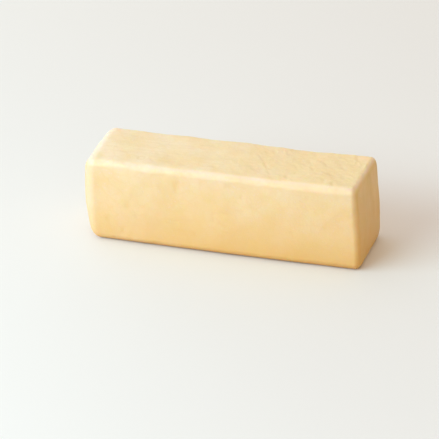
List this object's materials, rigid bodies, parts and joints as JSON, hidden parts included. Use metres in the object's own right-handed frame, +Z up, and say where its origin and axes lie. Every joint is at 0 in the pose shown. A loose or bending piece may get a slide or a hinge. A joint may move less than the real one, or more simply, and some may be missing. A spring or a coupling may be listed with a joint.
{
  "type": "cheese block",
  "caption": "Loaf-shaped block of pale, semi-hard melting cheese with soft rounded edges, lying on its long face, to be sliced, cubed or shredded.",
  "frame": {"origin": "under the middle of the block, on the flat face that it rests on", "axes": "+X along the loaf towards its right end, +Z up, and -Y out of the long front side"},
  "size_m": [0.2874, 0.0882, 0.0868],
  "materials": {
    "cheese": "satin"
  },
  "bodies": {
    "root": {"cheese_block": "cheese"}
  },
  "joints": []
}
